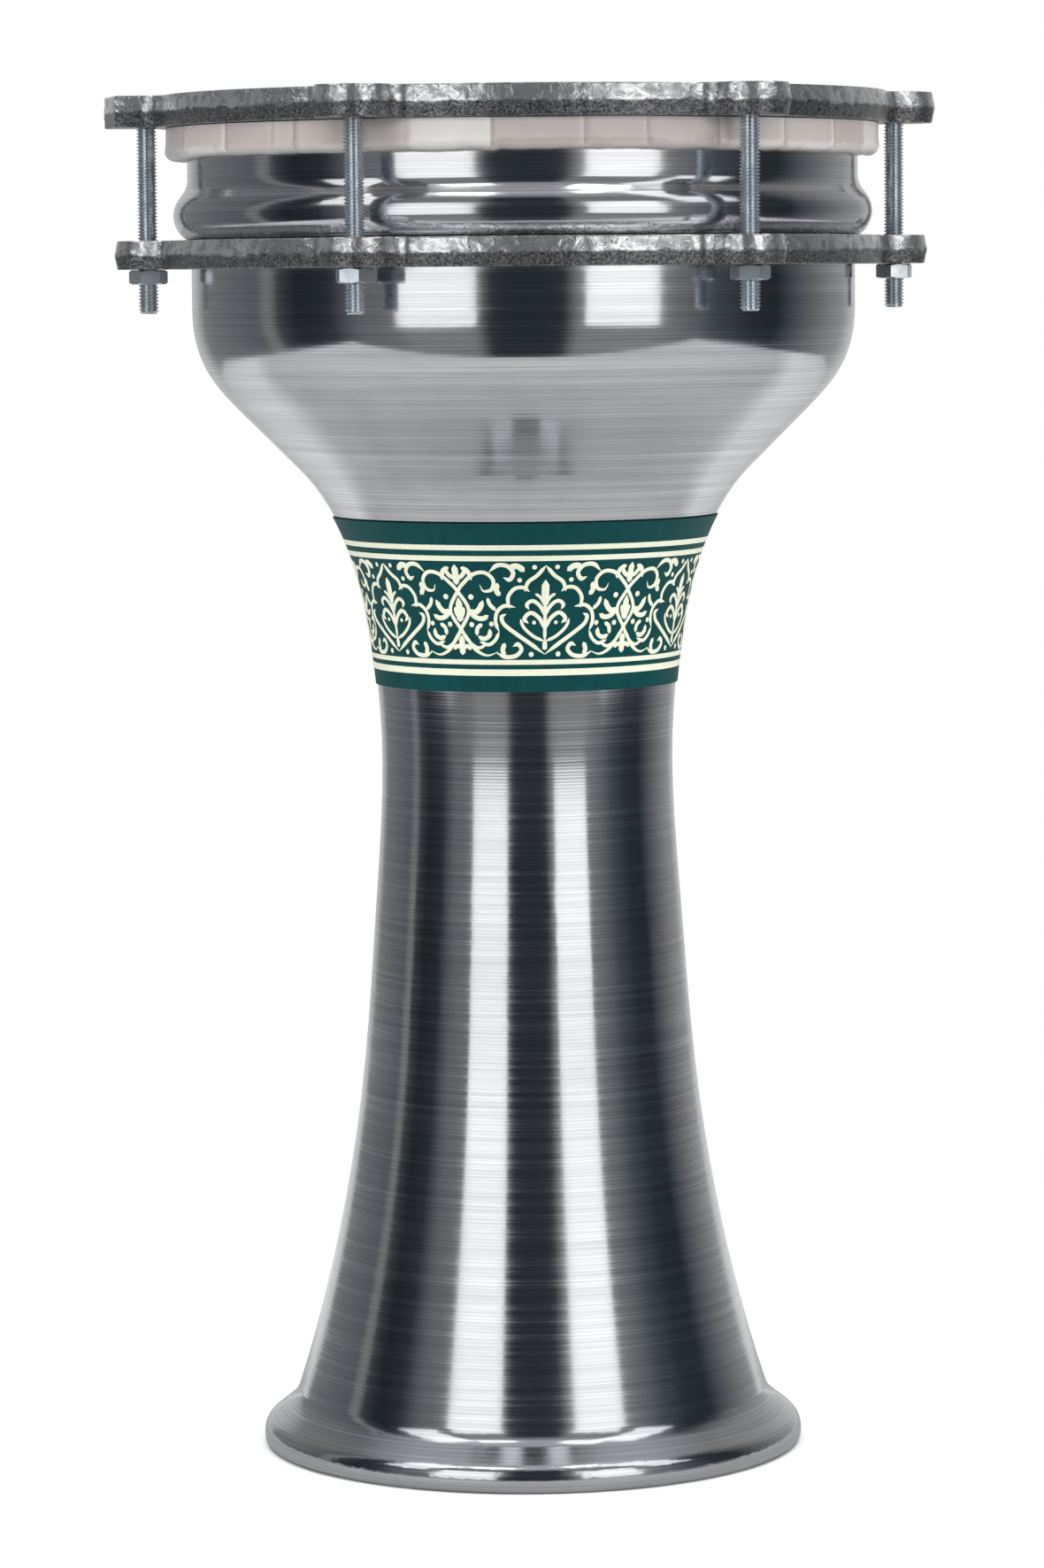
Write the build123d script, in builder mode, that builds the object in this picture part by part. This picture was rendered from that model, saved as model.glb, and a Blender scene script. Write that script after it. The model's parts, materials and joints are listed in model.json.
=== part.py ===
from build123d import *

import os
from math import radians, tan

# Goblet drum (darbuka) in spun aluminium, in millimetres.
# The origin is the centre of the foot on the floor and +Z runs up the drum's axis.
# Six lugs stand at 60 degree steps round both rings, the first of them on +X.

# Driving dimensions of the shell
wall = 2.0  # aluminium sheet
foot_radius = 81.6  # widest point of the flared foot
foot_lip_height = 3.5
floor_radius = 79.6  # middle of the flat rim that stands on the floor
floor_width = 1.6
throat_radius = 43.8  # narrowest point
throat_height = 212.0
bowl_radius = 99.1  # straight wall under the bead
bowl_shoulder_height = 343.0
collar_radius = 100.0  # straight wall over the bead
bead_radius = 104.3
head_height = 404.0  # top of the bearing edge
edge_radius = 4.0  # roll of the bearing edge
seam_height = 238.0  # where bowl and throat meet, under the band
spigot_length = 18.0
spigot_gap = 0.05

# Driving dimensions of the band, the head and the tension gear
band_bottom = 231.0
band_top = 281.0
band_thickness = 0.5
film_thickness = 0.3
skirt_bottom = 387.8
skirt_radius = 106.1
lug_count = 6
screw_circle = 112.0
upper_ring_bottom = 397.15
upper_ring_height = 9.35
upper_ring_radius = 109.8
upper_ring_bore = 101.0
upper_lug_reach = 124.6
upper_ring_round = 2.2  # inner edge under the player's fingers
lower_ring_bottom = 355.3
lower_ring_height = 8.6
lower_ring_radius = 108.0
lower_ring_bore = 99.9
lower_lug_reach = 122.2
lower_ring_chamfer = 1.0
lug_end_radius = 11.6
lug_blend = 5.0  # hollow between a lug and the ring
sawn_stub = 14.0  # the upper ring's lug on -X is a longer stub, sawn off a little askew
sawn_angle = 8.0
draft_angle = 12.0  # the castings taper both ways from their parting line

# M6 hardware
screw_radius = 3.0
screw_hole_radius = 3.3
screw_length = 64.0
head_radius = 6.0
head_sink = 0.3  # how far a screw head lies under the ring's face
head_edge = 0.3  # upright edge over the head's cone
screw_chamfer = 0.8
socket_across_flats = 4.0
socket_depth = 2.2
nut_across_flats = 10.0
nut_height = 4.3
nut_chamfer = 0.9
nut_chamfer_height = 0.5
nut_bore_radius = 3.06

seat_gap = 0.05  # between parts that press on each other
film_gap = 0.02  # between the film and the shell it is stretched over
fold_gap = 0.13  # between the hoop and the film folded round it
hoop_gap = 0.1  # between the hoop and the upper ring
skirt_gap = 0.25  # between the film's cut edge and the upper ring

os.makedirs("parts", exist_ok=True)


def save(solid, name):
    """Label one finished piece and write it as its own STEP file."""
    solid.label = name
    export_step(solid, f"parts/{name}.step")


# The outside of the shell in half section, from the floor up to the bearing edge
bead_seat = lower_ring_bottom + lower_ring_height + seat_gap
flare_direction = (-0.78, 0.62)
cone_direction = (1, 1)

with BuildLine() as shell_outline:
    rim = Line((floor_radius - floor_width / 2, 0), (floor_radius + floor_width / 2, 0))
    lip = Spline(
        rim @ 1,
        (foot_radius, foot_lip_height),
        (foot_radius - 2.2, 8.2),
        tangents=((1, 0.6), flare_direction),
    )
    flange = Line(lip @ 1, (74.1, 12.4))
    knee = TangentArc(flange @ 1, (71.2, 16.5), tangent=flange % 1)
    throat_curve = Spline(
        knee @ 1,
        (64.3, 39.6),
        (50.7, 110.0),
        (46.0, 165.0),
        (throat_radius, throat_height),
        (46.2, 242.0),
        (51.8, 268.0),
        (67.5, 295.3),
        tangents=(knee % 1, cone_direction),
    )
    cone = Line(throat_curve @ 1, (83.5, 311.3))
    shoulder = Spline(
        cone @ 1,
        (95.2, 325.6),
        (bowl_radius, bowl_shoulder_height),
        tangents=(cone_direction, (0, 1)),
    )
    bowl_wall = Line(shoulder @ 1, (bowl_radius, bead_seat - 0.8))
    bead_fillet = RadiusArc(bowl_wall @ 1, (bowl_radius + 0.8, bead_seat), 0.8)
    seat = Line(bead_fillet @ 1, (bowl_radius + 1.2, bead_seat))
    bead = ThreePointArc(seat @ 1, (bead_radius, bead_seat + 7.0), (102.6, bead_seat + 12.2))
    bead_blend = Spline(
        bead @ 1, (collar_radius, bead_seat + 18.0), tangents=(bead % 1, (0, 1))
    )
    collar = Line(bead_blend @ 1, (collar_radius, head_height - edge_radius))
    edge = RadiusArc(collar @ 1, (collar_radius - edge_radius, head_height), -edge_radius)
    curl = RadiusArc(edge @ 1, (collar_radius - 7.6, head_height - 3.6), -3.6)


def strip_edges(line, thickness, side):
    """The closed outline of a strip along one side of a line, in plain curves."""
    with BuildLine() as border:
        add(line)
        offset(amount=thickness, side=side, closed=True)
    return [
        edge.to_splines() if edge.geom_type == GeomType.OFFSET else edge
        for edge in border.edges()
    ]


def sheet_section(line, side, near, far, low, high):
    """Half section of a sheet from near to far of a line, between two heights."""
    with BuildSketch(Plane.XZ) as section:
        with BuildLine():
            add(strip_edges(line, far, side))
        make_face()
        if near:
            with BuildLine():
                add(strip_edges(line, near, side))
            make_face(mode=Mode.SUBTRACT)
        with Locations((0, (low + high) / 2)):
            Rectangle(3 * collar_radius, high - low, mode=Mode.INTERSECT)
    return section.sketch


# Bowl: the sheet above the seam
with BuildPart() as bowl:
    add(sheet_section(shell_outline.line, Side.LEFT, 0, wall, seam_height, head_height))
    revolve(axis=Axis.Z)
save(bowl.part, "shell_bowl")

# Throat and foot: the sheet below the seam, and a spigot that fits up into the bowl's neck.
# The spigot's root overlaps the inside of the throat's wall, which joins the two.
spigot_inside = 2 * wall + spigot_gap
spigot_root = seam_height - spigot_length / 3
spigot_top = seam_height + spigot_length

with BuildPart() as throat:
    add(sheet_section(shell_outline.line, Side.LEFT, 0, wall, 0, seam_height))
    revolve(axis=Axis.Z)
    add(
        sheet_section(
            throat_curve, Side.LEFT, wall / 2, spigot_inside, spigot_root, seam_height
        )
    )
    revolve(axis=Axis.Z)
    add(
        sheet_section(
            throat_curve, Side.LEFT, wall + spigot_gap, spigot_inside, seam_height, spigot_top
        )
    )
    revolve(axis=Axis.Z)
save(throat.part, "shell_throat")

# Band: a thin sleeve that follows the neck
with BuildPart() as band:
    add(
        sheet_section(
            throat_curve,
            Side.RIGHT,
            seat_gap,
            seat_gap + band_thickness,
            band_bottom,
            band_top,
        )
    )
    revolve(axis=Axis.Z)
save(band.part, "neck_band")

# Head film: over the bearing edge, down the collar, then folded up round the hoop
film_underside = head_height + film_gap
film_inside = collar_radius + film_gap
fold_radius = (skirt_radius - film_inside) / 2
fold_height = skirt_bottom + fold_radius

with BuildPart() as film:
    with BuildSketch(Plane.XZ):
        with BuildLine():
            membrane = Line((0, film_underside), (collar_radius - edge_radius, film_underside))
            over_edge = RadiusArc(
                membrane @ 1, (film_inside, head_height - edge_radius), edge_radius + film_gap
            )
            down = Line(over_edge @ 1, (film_inside, fold_height))
            fold = RadiusArc(down @ 1, (skirt_radius, fold_height), -fold_radius)
            Line(fold @ 1, (skirt_radius, upper_ring_bottom - skirt_gap))
            offset(amount=film_thickness, side=Side.LEFT, closed=True)
        make_face()
    revolve(axis=Axis.Z)
save(film.part, "head_film")

# Flesh hoop: a bar with a round lower edge, inside the fold of the film
hoop_inside = film_inside + film_thickness + fold_gap
hoop_outside = skirt_radius - film_thickness - fold_gap
hoop_top = upper_ring_bottom - hoop_gap

with BuildPart() as hoop:
    with BuildSketch(Plane.XZ):
        with BuildLine():
            hoop_foot = RadiusArc(
                (hoop_inside, fold_height),
                (hoop_outside, fold_height),
                -(hoop_outside - hoop_inside) / 2,
            )
            Polyline(
                hoop_foot @ 1,
                (hoop_outside, hoop_top),
                (hoop_inside, hoop_top),
                hoop_foot @ 0,
            )
        make_face()
    revolve(axis=Axis.Z)
save(hoop.part, "head_hoop")


def ring_blank(bottom, height, radius, lug_reach, bore, sawn_lug):
    """A cast ring with lugs, tapered up and down from its parting line, without screw holes."""
    parting = Plane.XY.offset(bottom + height / 2)
    with BuildPart() as ring:
        with BuildSketch(parting) as plan:
            Circle(radius)
            with PolarLocations(lug_reach - lug_end_radius, lug_count):
                Circle(lug_end_radius)
            if sawn_lug:
                with Locations((-lug_reach + lug_end_radius, 0)):
                    SlotCenterToCenter(sawn_stub, 2 * lug_end_radius)
            fillet(plan.vertices(), lug_blend)
        extrude(amount=height / 2, taper=draft_angle)
        mirror(about=parting)
        with BuildSketch(parting):
            Circle(bore)
            if sawn_lug:
                far_corner = lug_end_radius * tan(radians(sawn_angle))
                with Locations(Location((far_corner - lug_reach, 0), sawn_angle)):
                    Rectangle(
                        2 * lug_end_radius,
                        4 * lug_end_radius,
                        align=(Align.MAX, Align.CENTER),
                    )
        extrude(amount=height, both=True, mode=Mode.SUBTRACT)
    return ring.part


upper_ring_top = upper_ring_bottom + upper_ring_height
lower_ring_top = lower_ring_bottom + lower_ring_height

# Upper ring: countersunk holes, and a round inner edge under the player's fingers
with BuildPart() as upper_ring:
    add(
        ring_blank(
            upper_ring_bottom,
            upper_ring_height,
            upper_ring_radius,
            upper_lug_reach,
            upper_ring_bore,
            sawn_lug=True,
        )
    )
    bore_edge = upper_ring.faces().sort_by(Axis.Z)[-1].inner_wires().edges()
    fillet(bore_edge, upper_ring_round)
    with Locations(Plane.XY.offset(upper_ring_top)):
        with PolarLocations(screw_circle, lug_count):
            CounterSinkHole(
                radius=screw_hole_radius,
                counter_sink_radius=head_radius + 2 * head_sink + seat_gap,
                depth=upper_ring_height,
                counter_sink_angle=90,
            )
save(upper_ring.part, "top_ring")

# Lower ring: plain clearance holes, and a chamfer that the bead sits on
with BuildPart() as lower_ring:
    add(
        ring_blank(
            lower_ring_bottom,
            lower_ring_height,
            lower_ring_radius,
            lower_lug_reach,
            lower_ring_bore,
            sawn_lug=False,
        )
    )
    bore_edge = lower_ring.faces().sort_by(Axis.Z)[-1].inner_wires().edges()
    chamfer(bore_edge, lower_ring_chamfer)
    with Locations(Plane.XY.offset(lower_ring_top)):
        with PolarLocations(screw_circle, lug_count):
            Hole(radius=screw_hole_radius, depth=lower_ring_height)
save(lower_ring.part, "bottom_ring")

# Tension screws: countersunk heads with hexagon sockets, hanging down through both rings
screw_top = upper_ring_top - head_sink
screw_end = screw_top - screw_length
cone_top = screw_top - head_edge
cone_bottom = cone_top - (head_radius - screw_radius)
socket_circumradius = socket_across_flats / 3**0.5

for index in range(lug_count):
    place = PolarLocations(screw_circle, lug_count).locations[index]
    with BuildPart() as screw:
        with BuildSketch(Plane.XZ):
            with BuildLine():
                Polyline(
                    (0, screw_top),
                    (head_radius, screw_top),
                    (head_radius, cone_top),
                    (screw_radius, cone_bottom),
                    (screw_radius, screw_end + screw_chamfer),
                    (screw_radius - screw_chamfer, screw_end),
                    (0, screw_end),
                    close=True,
                )
            make_face()
        revolve(axis=Axis.Z)
        with BuildSketch(Plane.XY.offset(screw_top)):
            RegularPolygon(socket_circumradius, 6)
        extrude(amount=-socket_depth, mode=Mode.SUBTRACT)
    save(place * screw.part, f"tension_screw_{index + 1}")

# Tension nuts: chamfered M6 hexagons under the lower ring, each turned its own way
nut_top = lower_ring_bottom - seat_gap
nut_bottom = nut_top - nut_height
nut_corner_radius = nut_across_flats / 3**0.5
nut_face_radius = nut_corner_radius - nut_chamfer
nut_turns = (12.0, 40.0, 22.0, 5.0, 37.0, 50.0)  # degrees about each screw

for index, turn in enumerate(nut_turns):
    place = PolarLocations(screw_circle, lug_count).locations[index]
    with BuildPart() as nut:
        with BuildSketch(Plane.XY.offset(nut_top)):
            RegularPolygon(nut_corner_radius, 6, rotation=turn)
            Circle(nut_bore_radius, mode=Mode.SUBTRACT)
        extrude(amount=-nut_height)
        with BuildSketch(Plane.XZ):
            with BuildLine():
                Polyline(
                    (0, nut_top),
                    (nut_face_radius, nut_top),
                    (nut_corner_radius, nut_top - nut_chamfer_height),
                    (nut_corner_radius, nut_bottom + nut_chamfer_height),
                    (nut_face_radius, nut_bottom),
                    (0, nut_bottom),
                    close=True,
                )
            make_face()
        revolve(axis=Axis.Z, mode=Mode.INTERSECT)
    save(place * nut.part, f"tension_nut_{index + 1}")
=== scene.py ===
import json
import math
import random

import bmesh
import bpy
import numpy as np
from mathutils import Matrix, Vector, noise
from mathutils.bvhtree import BVHTree


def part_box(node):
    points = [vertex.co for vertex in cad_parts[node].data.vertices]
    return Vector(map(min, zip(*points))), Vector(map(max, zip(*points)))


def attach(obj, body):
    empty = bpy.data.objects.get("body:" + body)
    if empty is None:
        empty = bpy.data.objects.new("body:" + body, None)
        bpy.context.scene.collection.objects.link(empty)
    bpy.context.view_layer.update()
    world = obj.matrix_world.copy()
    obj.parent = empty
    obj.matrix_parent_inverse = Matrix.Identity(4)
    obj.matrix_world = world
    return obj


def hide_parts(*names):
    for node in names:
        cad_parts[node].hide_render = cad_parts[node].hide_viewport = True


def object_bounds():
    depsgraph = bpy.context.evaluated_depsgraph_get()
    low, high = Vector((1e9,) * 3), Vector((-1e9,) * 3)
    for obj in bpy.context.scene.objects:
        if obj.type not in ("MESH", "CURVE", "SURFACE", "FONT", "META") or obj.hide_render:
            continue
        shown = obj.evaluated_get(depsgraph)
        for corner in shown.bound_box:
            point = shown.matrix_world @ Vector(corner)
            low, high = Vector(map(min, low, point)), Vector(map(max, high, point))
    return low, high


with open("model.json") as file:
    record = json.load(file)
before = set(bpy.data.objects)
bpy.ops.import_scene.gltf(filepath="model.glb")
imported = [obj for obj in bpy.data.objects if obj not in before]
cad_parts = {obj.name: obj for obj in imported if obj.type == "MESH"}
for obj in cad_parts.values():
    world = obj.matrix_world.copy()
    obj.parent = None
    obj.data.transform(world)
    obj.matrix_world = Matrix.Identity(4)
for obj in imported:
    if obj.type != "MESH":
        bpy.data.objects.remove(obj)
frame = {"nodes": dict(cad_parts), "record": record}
cad_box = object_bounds()

# A goblet drum: spun aluminium shell, printed neck band, folded film head, two cast rings
# drawn together by six threaded screws and nuts. Lengths are in metres, angles in radians.

MM = 0.001
LUG_COUNT = 6

# M6 hardware
THREAD_PITCH = 1.0 * MM
THREAD_CREST = 3.0 * MM
THREAD_ROOT = 2.39 * MM
THREAD_CORNERS = (0, 0.125, 0.4375, 0.6875)  # ends of the crest and of the root, in pitches
SCREW_HOLE = 3.3 * MM
HEAD_GAP = 0.65 * MM  # countersink radius over the screw head's radius
SOCKET_FLATS = 4.0 * MM
SOCKET_DEPTH = 2.2 * MM
NUT_FLATS = 10.0 * MM
NUT_BORE = 3.06 * MM

GROOVE_PITCH = 0.95 * MM  # feed of the spinning tool, seen as rings on the shell

# Camera, as a point on a circle round the drum's axis
VIEW_ANGLE = math.radians(-95.0)  # direction from the axis to the camera, from +X
VIEW_DISTANCE = 1.670
VIEW_HEIGHT = 0.353
VIEW_PITCH = math.radians(-5.24)
VIEW_YAW = math.radians(0.0584)
VIEW_ROLL = math.radians(0.494)
VIEW_LENS = 127.56  # millimetres, on a 36 mm sensor

TOWARD_CAMERA = Vector((math.cos(VIEW_ANGLE), math.sin(VIEW_ANGLE), 0))
RIGHT_OF_VIEW = Vector((-math.sin(VIEW_ANGLE), math.cos(VIEW_ANGLE), 0))

RAY_REACH = 0.3  # more than the drum's radius, for measuring it with rays

nodes = frame["nodes"]
slots = {part["node"]: part["material_slot"] for part in frame["record"]["subparts"]}


# ---- measuring the frame

def node_tree(node):
    """A CAD node's surface, ready for ray casts."""
    mesh = nodes[node].data
    return BVHTree.FromPolygons(
        [vertex.co for vertex in mesh.vertices], [face.vertices for face in mesh.polygons]
    )


def outer_radius(tree, angle, height):
    """Radius at which a level ray from outside meets a surface, or None."""
    outward = Vector((math.cos(angle), math.sin(angle), 0))
    start = outward * RAY_REACH + Vector((0, 0, height))
    hit = tree.ray_cast(start, -outward, RAY_REACH)[0]
    return None if hit is None else math.hypot(hit.x, hit.y)


def inner_radius(tree, angle, height):
    """Radius at which a level ray from the axis meets a surface, or None."""
    outward = Vector((math.cos(angle), math.sin(angle), 0))
    hit = tree.ray_cast(Vector((0, 0, height)), outward, RAY_REACH)[0]
    return None if hit is None else math.hypot(hit.x, hit.y)


def centre_of(node):
    """The middle of a CAD node's box."""
    low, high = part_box(node)
    return (low + high) / 2


# ---- mesh helpers

def mesh_object(name, points, faces, sharp=math.radians(40)):
    """A mesh object with smooth faces and hard edges where the surface turns sharply."""
    mesh = bpy.data.meshes.new(name)
    mesh.from_pydata([tuple(point) for point in points], [], faces)
    mesh.validate()
    thing = bpy.data.objects.new(name, mesh)
    bpy.context.scene.collection.objects.link(thing)
    finish_mesh(mesh, sharp)
    return thing


def finish_mesh(mesh, sharp, weld=1e-7):
    """Weld doubled points, drop empty faces, face outwards and mark the hard edges."""
    work = bmesh.new()
    work.from_mesh(mesh)
    bmesh.ops.remove_doubles(work, verts=work.verts, dist=weld)
    bmesh.ops.dissolve_degenerate(work, edges=work.edges, dist=weld)
    bmesh.ops.recalc_face_normals(work, faces=work.faces)
    for face in work.faces:
        face.smooth = True
    for edge in work.edges:
        edge.smooth = len(edge.link_faces) == 2 and edge.calc_face_angle(0) < sharp
    work.to_mesh(mesh)
    work.free()


def grid_faces(rows, columns, close_rows=False, first=0):
    """Quads of a grid of points stored row by row, with each row closed on itself."""
    faces = []
    for row in range(rows if close_rows else rows - 1):
        above = (row + 1) % rows
        for column in range(columns):
            beside = (column + 1) % columns
            faces.append((
                first + row * columns + column,
                first + row * columns + beside,
                first + above * columns + beside,
                first + above * columns + column,
            ))
    return faces


def ring_points(radius, height, columns, phase=0.0):
    """A level ring of points; the radius may be a function of angle."""
    points = []
    for column in range(columns):
        angle = math.tau * column / columns + phase
        reach = radius(angle) if callable(radius) else radius
        points.append((reach * math.cos(angle), reach * math.sin(angle), height))
    return points


def turned(name, profile, columns, sharp=math.radians(40), closed=False):
    """A surface of revolution from (radius, height) points."""
    points = []
    for radius, height in profile:
        points += ring_points(radius, height, columns)
    faces = grid_faces(len(profile), columns, close_rows=closed)
    return mesh_object(name, points, faces, sharp)


def arc(centre, radius, start, end, steps):
    """Points of an arc in (radius, height) terms, start and end in degrees."""
    return [
        (
            centre[0] + radius * math.cos(math.radians(start + (end - start) * step / steps)),
            centre[1] + radius * math.sin(math.radians(start + (end - start) * step / steps)),
        )
        for step in range(steps + 1)
    ]


def even(start, end, steps, ends=True):
    """Evenly spaced points between two (radius, height) points."""
    last = steps + 1 if ends else steps
    return [
        (
            start[0] + (end[0] - start[0]) * step / steps,
            start[1] + (end[1] - start[1]) * step / steps,
        )
        for step in range(last)
    ]


def dress(thing, material, slot, body, *replaced):
    """Give a piece its material and body, and hide the CAD nodes that it stands for. The slot
    argument is not used.
    """
    thing.data.materials.clear()
    thing.data.materials.append(material)
    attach(thing, body)
    if replaced:
        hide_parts(*replaced)


def dress_node(node, material):
    """Give a CAD node that stays shown its material."""
    nodes[node].data.materials.clear()
    nodes[node].data.materials.append(material)


# ---- material helpers

class Nodes:
    """Short ways to add and join the nodes of one tree."""

    def __init__(self, tree):
        self.tree = tree

    def node(self, kind, links=None, **settings):
        made = self.tree.nodes.new(kind)
        for name, value in settings.items():
            if name in made.inputs:
                made.inputs[name].default_value = value
            else:
                setattr(made, name, value)
        for socket, source in (links or {}).items():
            self.tree.links.new(source, made.inputs[socket])
        return made

    def ramp(self, value, *stops):
        """A value turned into grey or colour by (position, level or colour) stops."""
        made = self.node("ShaderNodeValToRGB", {"Fac": value})
        elements = made.color_ramp.elements
        while len(elements) < len(stops):
            elements.new(0.5)
        for element, (position, level) in zip(elements, stops):
            element.position = position
            colour = (level, level, level) if isinstance(level, (int, float)) else level
            element.color = (*colour, 1)
        return made.outputs["Color"]

    def math(self, operation, first, second=0.0, third=0.0):
        made = self.node("ShaderNodeMath", operation=operation)
        for index, value in enumerate((first, second, third)):
            if isinstance(value, (int, float)):
                made.inputs[index].default_value = value
            else:
                self.tree.links.new(value, made.inputs[index])
        return made.outputs[0]

    def mix(self, factor, first, second, blend="MIX"):
        made = self.node("ShaderNodeMix", data_type="RGBA", blend_type=blend)
        sockets = [made.inputs[0], made.inputs[6], made.inputs[7]]
        for socket, value in zip(sockets, (factor, first, second)):
            if isinstance(value, (int, float)):
                socket.default_value = value if socket is sockets[0] else (value, value, value, 1)
            elif isinstance(value, tuple):
                socket.default_value = (*value, 1)
            else:
                self.tree.links.new(value, socket)
        return made.outputs[2]

    def upward(self, vector):
        """The Z part of a vector."""
        return self.node("ShaderNodeSeparateXYZ", {0: vector}).outputs["Z"]

    def along(self, vector, direction):
        """How far a vector reaches along a direction."""
        made = self.node("ShaderNodeVectorMath", {0: vector}, operation="DOT_PRODUCT")
        made.inputs[1].default_value = direction
        return made.outputs["Value"]

    def between(self, value, low, high):
        """How far a value is from a low to a high limit, from 0 to 1."""
        made = self.node("ShaderNodeMapRange", {"Value": value})
        made.inputs["From Min"].default_value = low
        made.inputs["From Max"].default_value = high
        return made.outputs["Result"]


class Shader(Nodes):
    """One material, painted by the place on its object."""

    def __init__(self, name, **constants):
        self.material = bpy.data.materials.new(name)
        self.material.use_nodes = True
        super().__init__(self.material.node_tree)
        self.surface = self.tree.nodes["Principled BSDF"]
        for socket, value in constants.items():
            self.surface.inputs[socket.replace("_", " ")].default_value = value
        self.place = self.node("ShaderNodeTexCoord").outputs["Object"]

    def scaled(self, x, y, z):
        """The place on the object, stretched along each axis."""
        made = self.node("ShaderNodeVectorMath", {0: self.place}, operation="MULTIPLY")
        made.inputs[1].default_value = (x, y, z)
        return made.outputs[0]

    def noise(self, place, scale, detail=3.0, roughness=0.5, distortion=0.0):
        made = self.node("ShaderNodeTexNoise", {"Vector": place}, Scale=scale, Detail=detail,
                         Roughness=roughness, Distortion=distortion)
        return made.outputs["Fac"]

    def bump(self, height, distance, strength=1.0, below=None):
        links = {"Height": height}
        if below is not None:
            links["Normal"] = below
        made = self.node("ShaderNodeBump", links, Distance=distance, Strength=strength)
        return made.outputs["Normal"]

    def set(self, socket, value):
        self.tree.links.new(value, self.surface.inputs[socket])

    def painted(self, tone, rough, normal):
        """The material, with its colour, roughness and normal joined."""
        self.set("Base Color", tone)
        self.set("Roughness", rough)
        self.set("Normal", normal)
        return self.material


def spun_aluminium():
    """Polished sheet with lathe lines round the axis, duller on the inside."""
    shader = Shader("spun_aluminium", Metallic=1.0, Anisotropic=0.25, Anisotropic_Rotation=0.25)
    fine = shader.noise(shader.scaled(14, 14, 2600), 1.0, 2.0, 0.6)
    lines = shader.noise(shader.scaled(5, 5, 620), 1.0, 4.0, 0.65)
    bands = shader.noise(shader.scaled(1.5, 1.5, 95), 1.0, 3.0, 0.5)
    drift = shader.math("MULTIPLY", bands, 1.5)
    turns = shader.math("MULTIPLY", shader.upward(shader.place), math.tau / GROOVE_PITCH)
    turns = shader.math("ADD", turns, drift)
    grooves = shader.math("MULTIPLY_ADD", shader.math("SINE", turns), 0.5, 0.5)
    smudges = shader.noise(shader.scaled(16, 16, 9), 1.0, 5.0, 0.6, 0.6)

    normal = shader.node("ShaderNodeNewGeometry").outputs["Normal"]
    facing = shader.node("ShaderNodeVectorMath", {0: normal, 1: shader.scaled(1, 1, 0)},
                         operation="DOT_PRODUCT").outputs["Value"]
    inside = shader.math("LESS_THAN", facing, -0.004)

    tone = shader.ramp(lines, (0.34, (0.60, 0.61, 0.63)), (0.66, (0.84, 0.85, 0.865)))
    tone = shader.mix(shader.ramp(bands, (0.35, 0.0), (0.7, 0.35)), tone, (0.70, 0.71, 0.735))
    tone = shader.mix(shader.ramp(fine, (0.42, 0.30), (0.56, 0.0)), tone, (0.42, 0.43, 0.45))
    tone = shader.mix(shader.math("MULTIPLY", grooves, 0.22), tone, (0.34, 0.35, 0.365))
    tone = shader.mix(shader.ramp(smudges, (0.5, 0.0), (0.8, 0.4)), tone, (0.60, 0.61, 0.64))
    tone = shader.mix(shader.math("MULTIPLY", inside, 0.75), tone, (0.50, 0.51, 0.52))

    rough = shader.ramp(smudges, (0.35, 0.09), (0.75, 0.17))
    rough = shader.mix(shader.ramp(lines, (0.45, 0.0), (0.75, 0.6)), rough, 0.24)
    rough = shader.mix(inside, rough, 0.42)

    round_axis = shader.node("ShaderNodeTangent", direction_type="RADIAL", axis="Z")
    shader.set("Tangent", round_axis.outputs[0])
    surface = shader.bump(bands, 0.02 * MM, 0.5)
    surface = shader.bump(grooves, 0.004 * MM, 0.6, surface)
    surface = shader.bump(lines, 0.008 * MM, 0.6, surface)
    surface = shader.bump(fine, 0.003 * MM, 0.7, surface)
    return shader.painted(tone, rough, surface)


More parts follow.
